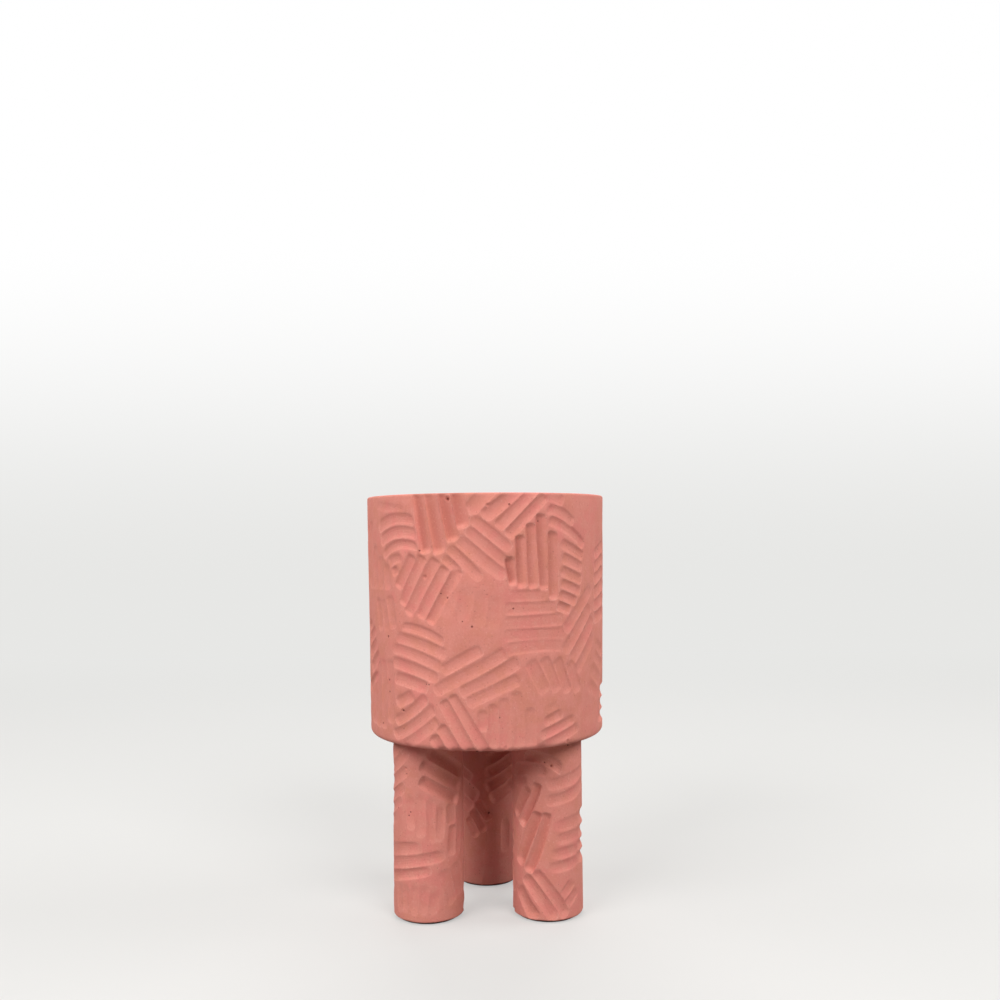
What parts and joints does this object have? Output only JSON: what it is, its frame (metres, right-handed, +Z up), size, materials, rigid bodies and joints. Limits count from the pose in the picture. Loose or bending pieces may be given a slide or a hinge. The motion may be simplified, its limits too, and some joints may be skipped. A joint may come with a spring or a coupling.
{
  "type": "planter",
  "caption": "Cylindrical cast concrete planter on round legs, with an open cavity for a nursery pot and a drain hole closed by a pull-out plug.",
  "frame": {"origin": "on the floor under the pot's own axis, level with the undersides of the foot pads", "axes": "+Z up along the pot's axis, -Y towards the front, where the gap between the two front legs faces, +X to the right seen from the front"},
  "size_m": [0.142, 0.142, 0.2395],
  "materials": {
    "cast_concrete": "matte",
    "mortar": "matte",
    "pin_steel": "satin",
    "foot_felt": "matte",
    "plug_rubber": "matte"
  },
  "bodies": {
    "planter": {"pot": "cast_concrete", "front_left_leg": "cast_concrete", "front_right_leg": "cast_concrete", "rear_leg": "cast_concrete", "front_left_mortar_bed": "mortar", "front_right_mortar_bed": "mortar", "rear_mortar_bed": "mortar", "front_left_anchor_pin": "pin_steel", "front_right_anchor_pin": "pin_steel", "rear_anchor_pin": "pin_steel", "front_left_foot_pad": "foot_felt", "front_right_foot_pad": "foot_felt", "rear_foot_pad": "foot_felt"},
    "plug": {"drain_plug": "plug_rubber"}
  },
  "joints": [
    {"name": "plug_pull", "type": "slide", "parent": "planter", "child": "plug", "axis": [0, 0, -1], "range_m": [0, 0.03]}
  ]
}
